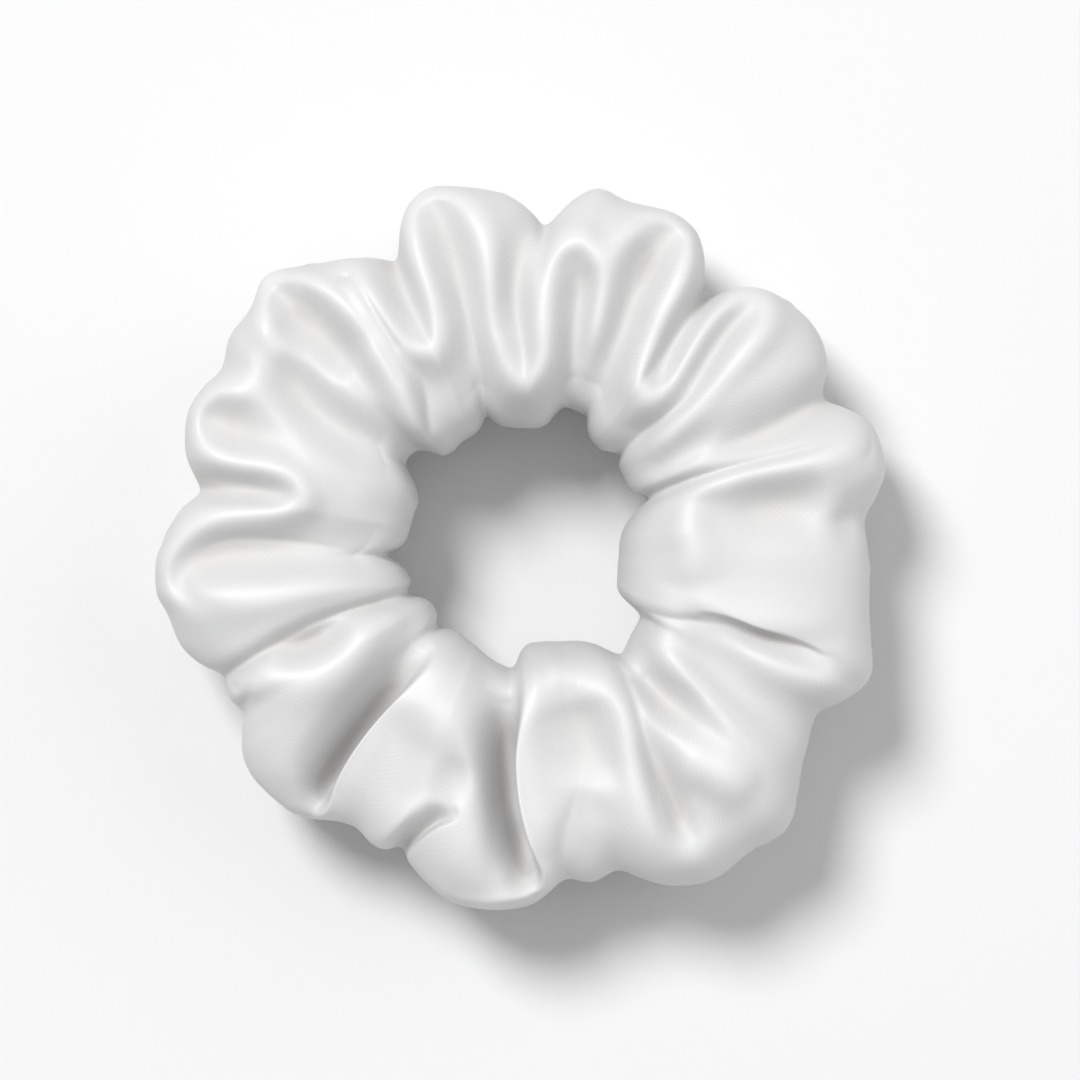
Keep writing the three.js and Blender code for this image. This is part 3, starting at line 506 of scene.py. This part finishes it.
def cover_grid(nu, nv):
    """The folded cover as a closed nu x nv grid of points, the plain tube under it,
    the way each point moved, and how far."""
    angle, turn = np.meshgrid(
        np.arange(nu) * 360.0 / nu, np.arange(nv) * 2 * np.pi / nv, indexing="ij")
    plain, normal = plain_tube(angle, turn)
    x = plain.reshape(-1, 3).astype(np.float32)
    up, down, cut = (np.zeros(len(x), np.float32) for _ in range(3))
    lean = np.zeros((len(x), 3), np.float32)
    for under in (False, True):
        lay_folds(x, np.sin(turn).reshape(-1), under, up, down, cut, lean)
    rng = np.random.default_rng(7)
    lay_gathers(x, up, rng)
    lay_pleats(x, up, down, rng)

    up, down, cut = (f.reshape(nu, nv) for f in (up, down, cut))
    up, down = (smooth_grid(f, 2.3, 1.6) for f in (up, down))
    cut = smooth_grid(cut, 0.9, 0.8)
    down, cut = np.maximum(down, 0), np.maximum(cut, 0)
    off = up - (down**2.5 + cut**2.5) ** 0.4
    off *= 0.35 + 0.65 * ramp(plain[..., 2], 1.5, 5.0)  # less relief near the floor
    # the gathers bunch up on the elastic, at the middle of the inner wall: little relief there
    inner = ramp(-np.cos(turn), 0.72, 0.2)
    off = np.where(off < 0, off * (1 - 0.85 * inner), off)
    # the top's folds move straight up and down, the rest along the normal
    lift = ease(ramp(np.sin(turn), -0.05, 0.45)[..., None])
    way = normal * (1 - lift) + np.array([0, 0, 1.0]) * lift
    way /= np.linalg.norm(way, axis=-1, keepdims=True)
    lean = lean.reshape(nu, nv, 3)
    lean = np.stack([smooth_grid(lean[..., i], 1.5, 1.2) for i in range(3)], -1)
    lean[..., 2] = 0
    grid = plain + way * off[..., None] + lean
    z = grid[..., 2]
    grid[..., 2] = np.where(z < SOFT, CLEAR + (SOFT - CLEAR) * np.exp((z - SOFT) / (SOFT - CLEAR)), z)
    return grid, plain, way, off


NU, NV = ((1080, 288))
GRID, PLAIN, WAY, OFF = cover_grid(NU, NV)
NORMAL = np.cross(np.roll(GRID, -1, 0) - np.roll(GRID, 1, 0),
                  np.roll(GRID, -1, 1) - np.roll(GRID, 1, 1))
NORMAL /= np.linalg.norm(NORMAL, axis=-1, keepdims=True) + 1e-12
# how far each place stands out of the cloth round it: 0 in the bottom of a fold, 1 on its crest; the
# satin paints shade and highlight from it
CREST = np.clip(0.5 + (OFF - smooth_grid(OFF, 9.0, 7.0)) / 4.4, 0, 1)
CREST = smooth_grid(CREST, 1.2, 1.2)
# the deepest fold near each place
LOWEST = OFF.copy()
for shift in (-3, -2, -1, 1, 2, 3):
    for axis in (0, 1):
        LOWEST = np.minimum(LOWEST, np.roll(OFF, shift, axis))


def on_cover(angle, turn, out=0.0):
    """A point on the folded cover, out mm above it."""
    u, v = (angle % 360) / 360 * NU, (turn % (2 * math.pi)) / (2 * math.pi) * NV
    i, j, s, t = int(u) % NU, int(v) % NV, u - int(u), v - int(v)
    i1, j1 = (i + 1) % NU, (j + 1) % NV

    def mix(g):
        return (g[i, j] * (1 - s) + g[i1, j] * s) * (1 - t) + (g[i, j1] * (1 - s) + g[i1, j1] * s) * t

    n = mix(NORMAL)
    return mix(GRID) + n / np.linalg.norm(n) * out


# ---------------------------------------------------------------- meshes
made = []


def make(name, verts, faces, material, smooth=True):
    mesh = bpy.data.meshes.new(name)
    mesh.from_pydata([tuple(float(c) * MM for c in v) for v in verts], [], faces)
    mesh.update(calc_edges=True)
    mesh.polygons.foreach_set("use_smooth", [smooth] * len(mesh.polygons))
    mesh.materials.append(material)
    o = bpy.data.objects.new(name, mesh)
    bpy.context.scene.collection.objects.link(o)
    return o


def polar(r, angle, z):
    return (r * math.cos(math.radians(angle)), r * math.sin(math.radians(angle)), z)


def link_start(k):
    return SEAM + STEP * (k - 1)


def bend(o):
    """Bake the piece's transform into its mesh."""
    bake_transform(o)


def stand_in(o, slot, *nodes):
    """Let o replace the named CAD parts."""
    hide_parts(*nodes)
    made.append(o)


def stand_in_link(o, k, slot, middle, last, first):
    """Piece 12 replaces the last CAD part; piece 1 replaces the first as well as its own."""
    own = f"{middle}_{k:02d}" if k < PIECES else last
    stand_in(o, slot, own, *([first] if k == 1 else []))


def bridge(rows, sides):
    """Quads between rings of points laid one after another."""
    return [(i * sides + j, (i + 1) * sides + j, (i + 1) * sides + (j + 1) % sides,
             i * sides + (j + 1) % sides) for i in range(rows - 1) for j in range(sides)]


LINING_STEP = 4  # cover points to one lining point


def lining_point(column, j):
    """Below the deepest fold near, thinner at the inner wall, and clear of the floor."""
    thick = 0.5 + 0.5 * ramp(math.cos(2 * math.pi * j / NV), -0.72, 0.3)
    p = PLAIN[column, j] + WAY[column, j] * (min(LOWEST[column, j], 0.0) - thick)
    p[2] = max(p[2], 0.55)
    return p


def cover_piece(k, material):
    """One twelfth of the cover: folded outside, plain lining, closed at both cut ends."""
    per, first = NU // PIECES, round(link_start(k) / 360 * NU)
    columns = [(first + i) % NU for i in range(per + 1)]
    angles = [link_start(k) + STEP * i / per for i in range(per + 1)]
    outer = GRID[columns].reshape(-1, 3)
    step = LINING_STEP
    inner = [lining_point(c, j) for c in columns[::step] for j in range(0, NV, step)]
    sides, last = NV // step, per // step

    def at(i, j):
        return i * NV + j % NV

    def lining(i, j):
        return len(outer) + i * sides + j % sides

    faces = bridge(per + 1, NV)
    outside_loops = 4 * len(faces)  # the outside faces come first
    faces += [(lining(i, j), lining(i, j + 1), lining(i + 1, j + 1), lining(i + 1, j))
              for i in range(last) for j in range(sides)]
    for j in range(sides):
        edge = [j * step + n for n in range(step + 1)]
        faces.append(tuple([at(0, n) for n in edge] + [lining(0, j + 1), lining(0, j)]))
        faces.append(tuple([at(per, n) for n in reversed(edge)]
                           + [lining(last, j), lining(last, j + 1)]))
    o = make(f"satin_cover_{k:02d}", [*outer, *inner], faces, material)
    mesh = o.data

    # the weave follows the cloth: metres along the strip and across it
    layer = mesh.uv_layers.new(name="cloth")
    uv = np.zeros((len(mesh.loops), 2), np.float32)
    vertex = np.zeros(len(mesh.loops), np.int32)
    mesh.loops.foreach_get("vertex_index", vertex)
    outside = vertex < len(outer)
    uv[outside, 0] = (angles[0] + (vertex[outside] // NV) * STEP / per) / 360 * CLOTH_LENGTH
    uv[outside, 1] = (vertex[outside] % NV) / NV * CLOTH_WIDTH
    # the last strip of faces closes the section, at the cloth's full width
    loop = np.arange(outside_loops)
    closing = (loop // 4 % NV == NV - 1) & (vertex[loop] % NV == 0)
    uv[loop[closing], 1] = CLOTH_WIDTH
    layer.data.foreach_set("uv", uv.ravel())
    # the crest sets the painted shade and highlight of the satin; the lining gets a fixed value with
    # slight painted shade
    crest = np.concatenate([CREST[columns].reshape(-1), np.full(len(inner), 0.2)])
    attribute = mesh.attributes.new("crest", "FLOAT", "POINT")
    attribute.data.foreach_set("value", crest.astype(np.float32))

    # one set of normals for the whole ring, so that the twelve pieces shade as one cloth
    normals = np.zeros((len(mesh.loops), 3), np.float32)
    mesh.corner_normals.foreach_get("vector", normals.ravel())
    normals[loop] = NORMAL[columns].reshape(-1, 3).astype(np.float32)[vertex[loop]]
    mesh.normals_split_custom_set([tuple(n) for n in normals.tolist()])
    bend(o)
    return o


# elastic: a flat band of cords; its ends lap at the closing seam, one outside the other
BAND_RADIUS, BAND_HALF_HEIGHT, BAND_HALF_THICK = 26.5, 3.2, 0.42
CORDS, CORD_BULGE = 9, 0.14
LAP = 13  # degrees each end runs past the seam
LAP_OFFSET, LAP_LEAVES, LAP_RUN = 0.75, 19, 4  # mm aside; degrees from the seam; degrees long


def band_section(angle, k):
    shift = 0.0
    if k == 1:
        shift = LAP_OFFSET * ramp(SEAM + LAP_LEAVES - angle, 0, LAP_RUN)
    if k == PIECES:
        shift = -LAP_OFFSET * ramp(angle, SEAM + 360 - LAP_LEAVES, LAP_RUN)
    loop = []
    for side in (1, -1):
        for i in range(CORDS * 4 + 1):
            z = side * (-BAND_HALF_HEIGHT + 2 * BAND_HALF_HEIGHT * i / (CORDS * 4))
            bulge = CORD_BULGE * abs(math.sin(math.pi * i / 4))
            loop.append((BAND_RADIUS + shift + side * (BAND_HALF_THICK + bulge), HEIGHT + z))
    return loop


def band_piece(k, material):
    first = SEAM - LAP if k == 1 else link_start(k)
    last = SEAM + 360 + LAP if k == PIECES else link_start(k) + STEP
    spans = max(2, round((last - first) / 1.5))
    angles = [first + (last - first) * i / spans for i in range(spans + 1)]
    loops = [band_section(t, k) for t in angles]
    n, m = len(loops[0]), len(loops)
    verts = [polar(r, t, z) for t, loop in zip(angles, loops) for r, z in loop]
    faces = bridge(m, n) + [tuple(range(n)), tuple(reversed(range((m - 1) * n, m * n)))]
    o = make(f"elastic_band_{k:02d}", verts, faces, material)
    bend(o)
    return o


def thread_mesh(points, radius=0.2, sides=6):
    """A round thread through the points, with closed ends."""
    p = np.array(points, float)
    along = np.gradient(p, axis=0)
    along /= np.linalg.norm(along, axis=1, keepdims=True)
    n = np.cross(along[0], [0.3, 0.2, 0.93])
    n /= np.linalg.norm(n)
    verts = []
    for centre, t in zip(p, along):
        n = n - t * (n @ t)
        n /= np.linalg.norm(n)
        b = np.cross(t, n)
        for s in range(sides):
            a = 2 * math.pi * s / sides
            verts.append(centre + radius * (math.cos(a) * n + math.sin(a) * b))
    faces = [(a, d, c, b) for a, b, c, d in bridge(len(p), sides)]
    ends = (len(p) - 1) * sides
    return verts, faces + [tuple(reversed(range(sides))), tuple(range(ends, ends + sides))]


def seam_thread_piece(k, material):
    """Lengthwise seam: running stitches in the seam allowance, just inside the inner wall."""
    start, points = link_start(k), []
    for i in range(49):
        angle = start + 0.25 + (STEP - 0.5) * i / 48
        wall = np.linalg.norm(on_cover(angle, math.pi)[:2])
        s = (angle - start) / STEP * 5
        z = HEIGHT + 0.75 * math.tanh(3 * math.sin(2 * math.pi * s))
        points.append(polar(max(22.4, wall + 1.3), angle, z))
    verts, faces = thread_mesh(points)
    o = make(f"lengthwise_thread_{k:02d}", verts, faces, material)
    for v in verts:
        angle = math.degrees(math.atan2(v[1], v[0])) % 360
    bend(o)
    return o


STITCH_COUNT = 34


def closing_stitches(material):
    """Small slip stitches round the tube at the closing seam, half sunk in the cloth."""
    points = []
    for i in range(STITCH_COUNT * 8 + 1):
        s = i / (STITCH_COUNT * 8)
        angle = SEAM + 1.2 + 0.35 * math.sin(2 * math.pi * s * STITCH_COUNT / 2)
        lift = -0.145 + 0.06 * math.cos(2 * math.pi * s * STITCH_COUNT)
        points.append(on_cover(angle, -0.2 + 2 * math.pi * s * 0.985, lift))
    return make("closing_stitches", *thread_mesh(points, 0.1), material)


def elastic_tack(material):
    """Six stitches through the lapped ends of the elastic."""
    points = []
    for i in range(6):
        side = 1 if i % 2 == 0 else -1
        for reach, lift in ((-0.7, 1.62 * side), (0, 0), (0.7, -1.62 * side)):
            angle = SEAM - 10 + 20 * (i + 0.5) / 6
            points.append(polar(BAND_RADIUS + lift, angle + reach, HEIGHT + 1.6 * side))
    curve = smooth_curve(extended(np.array(points, float)), 4)
    return make("elastic_tack", *thread_mesh(curve, 0.18), material)


# ---------------------------------------------------------------- materials
# painted light on the satin: painted shade, dull and slightly warm, in the bottoms of the folds,
# rising to a painted highlight on the crests
PAINTED_SHADE_TO_HIGHLIGHT = (
    (0.0, (0.50, 0.492, 0.487)), (0.13, (0.575, 0.57, 0.566)),
    (0.5, (0.59, 0.59, 0.592)), (1.0, (0.68, 0.68, 0.68)),
)


def set_inputs(tree, node, inputs):
    """Link the inputs given as sockets, and set the others."""
    for name, value in inputs.items():
        if isinstance(value, bpy.types.NodeSocket):
            tree.links.new(value, node.inputs[name])
        else:
            node.inputs[name].default_value = value


def add_node(tree, kind, inputs, **settings):
    node = tree.nodes.new("ShaderNode" + kind)
    for name, value in settings.items():
        setattr(node, name, value)
    set_inputs(tree, node, inputs)
    return node


def node_material(name, colour, roughness):
    m = bpy.data.materials.new(name)
    m.use_nodes = True
    shader = m.node_tree.nodes["Principled BSDF"]
    set_inputs(m.node_tree, shader, {"Base Color": (*colour, 1), "Roughness": roughness})
    return m, m.node_tree, shader


def satin():
    m, tree, shader = node_material("satin_white", colour=(0.62, 0.62, 0.62), roughness=0.55)
    crest = add_node(tree, "Attribute", {}, attribute_name="crest").outputs["Fac"]
    # painted shade in the fold bottoms and painted highlight on the crests, as colour from the crest
    # attribute
    painted_shade_ramp = add_node(tree, "ValToRGB", {"Fac": crest})
    painted_shade_ramp.color_ramp.interpolation = "EASE"
    for position, _ in PAINTED_SHADE_TO_HIGHLIGHT[1:-1]:
        painted_shade_ramp.color_ramp.elements.new(position)
    for element, (position, colour) in zip(painted_shade_ramp.color_ramp.elements, PAINTED_SHADE_TO_HIGHLIGHT):
        element.position, element.color = position, (*colour, 1)
    # crests catch the light
    gloss = add_node(tree, "MapRange", {
        "Value": crest, "From Min": 0.15, "From Max": 0.6, "To Min": 0.1, "To Max": 0.5})
    # the weave: fine diagonal twill with slight slubs
    uv = add_node(tree, "UVMap", {}, uv_map="cloth").outputs["UV"]
    diagonal = add_node(tree, "Mapping", {"Vector": uv, "Rotation": (0, 0, math.radians(35))})
    twill = add_node(tree, "TexWave", {
        "Vector": diagonal.outputs["Vector"], "Scale": 640.0, "Distortion": 1.5,
        "Detail": 1.0, "Detail Scale": 3.0})
    slub = add_node(tree, "TexNoise", {"Vector": uv, "Scale": 1600.0, "Detail": 2.0})
    weave = add_node(tree, "Mix", {
        "Factor": 0.55, "A": twill.outputs["Fac"], "B": slub.outputs["Fac"],
    }, data_type="FLOAT").outputs["Result"]
    faint = add_node(tree, "MapRange", {"Value": weave, "To Min": 0.965, "To Max": 1.025})
    # the weave's faint colour laid over the painted shade and highlight
    # inputs 6 and 7 and output 2 are the node's colour sockets
    woven_painted_shade = add_node(tree, "Mix", {
        "Factor": 1.0, 6: painted_shade_ramp.outputs["Color"], 7: faint.outputs["Result"],
    }, data_type="RGBA", blend_type="MULTIPLY")
    bump = add_node(tree, "Bump", {"Height": weave, "Strength": 0.35, "Distance": 0.00004})
    set_inputs(tree, shader, {
        "IOR": 1.75, "Specular IOR Level": gloss.outputs["Result"],
        "Base Color": woven_painted_shade.outputs[2], "Normal": bump.outputs["Normal"]})
    return m


def fibre(name, colour, roughness, grain, strength, distance):
    """A plain colour with a fine noise bump."""
    m, tree, shader = node_material(name, colour, roughness)
    where = add_node(tree, "TexCoord", {}).outputs["Object"]
    noise = add_node(tree, "TexNoise", {"Vector": where, "Scale": grain})
    bump = add_node(tree, "Bump", {
        "Height": noise.outputs["Fac"], "Strength": strength, "Distance": distance})
    set_inputs(tree, shader, {"Normal": bump.outputs["Normal"]})
    return m


SATIN = satin()
ELASTIC = fibre("elastic_white", colour=(0.80, 0.79, 0.76), roughness=0.85,
                grain=2500.0, strength=0.5, distance=0.0002)
THREAD = fibre("thread_white", colour=(0.84, 0.84, 0.83), roughness=0.6,
               grain=4000.0, strength=0.4, distance=0.0001)

# ---------------------------------------------------------------- the pieces
for k in range(1, PIECES + 1):
    stand_in_link(cover_piece(k, SATIN), k, "satin_white", "satin_cover_gather",
                  last="satin_cover_tucked_end", first="satin_cover_hemmed_end")
    stand_in_link(band_piece(k, ELASTIC), k, "elastic_white", "elastic_band_link",
                  last="elastic_band_inner_end", first="elastic_band_outer_end")
    seam = "lengthwise_seam_thread"
    stand_in_link(seam_thread_piece(k, THREAD), k, "thread_white", seam,
                  last=seam + "_tucked_end", first=seam + "_hemmed_end")
for build, part in ((closing_stitches, "closing_seam_thread"),
                    (elastic_tack, "elastic_join_thread")):
    o = build(THREAD)
    stand_in(o, "thread_white", part)
    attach(o, "seam_end")

# ---------------------------------------------------------------- stage, light and camera
scene = bpy.context.scene
FLOOR = 3000  # half its side
paper, tree, shader = node_material("paper_white", colour=(0.90, 0.90, 0.90), roughness=0.8)
set_inputs(tree, shader, {"Specular IOR Level": 0.2})
floor = make("floor", [(-FLOOR, -FLOOR, 0), (FLOOR, -FLOOR, 0), (FLOOR, FLOOR, 0),
                       (-FLOOR, FLOOR, 0)], [(0, 1, 2, 3)], paper, smooth=False)

only_object = bpy.data.collections.new("lit_by_overhead")
scene.collection.children.link(only_object)
for o in made:
    only_object.objects.link(o)


def light(name, azimuth, elevation, distance, size, power, receivers=None):
    """A disk lamp aimed at the origin; degrees, metres and watts."""
    a, e = math.radians(azimuth), math.radians(elevation)
    d = Vector((math.cos(a) * math.cos(e), math.sin(a) * math.cos(e), math.sin(e)))
    lamp = bpy.data.lights.new(name, "AREA")
    lamp.shape, lamp.size, lamp.energy = "DISK", size, power
    o = bpy.data.objects.new(name, lamp)
    o.location = d * distance
    o.rotation_euler = (-d).to_track_quat("-Z", "Y").to_euler()
    scene.collection.objects.link(o)
    if receivers:
        o.light_linking.receiver_collection = receivers


light("key", azimuth=128, elevation=53, distance=4.2, size=1.47, power=139)
light("fill", azimuth=20, elevation=35, distance=2.6, size=2.4, power=13)
light("overhead", azimuth=0, elevation=88, distance=2.0, size=3.2, power=13,
      receivers=only_object)
light("bounce", azimuth=305, elevation=38, distance=2.4, size=2.6, power=9,
      receivers=only_object)
world = bpy.data.worlds.new("white_room")
world.use_nodes = True
set_inputs(world.node_tree, world.node_tree.nodes["Background"],
           {"Color": (1, 1, 1, 1), "Strength": 0.345})
scene.world = world
scene.view_settings.view_transform = "Standard"

FIELD = 0.16615  # width of the picture at the tube's centre line, metres
LENS, SENSOR = 135, 36  # mm
camera = bpy.data.cameras.new("camera")
camera.lens = LENS
eye = bpy.data.objects.new("camera", camera)
eye.location = (0.00354, 0.00108, FIELD / 2 / (SENSOR / 2 / LENS) + HEIGHT * MM)
scene.collection.objects.link(eye)
scene.camera = eye
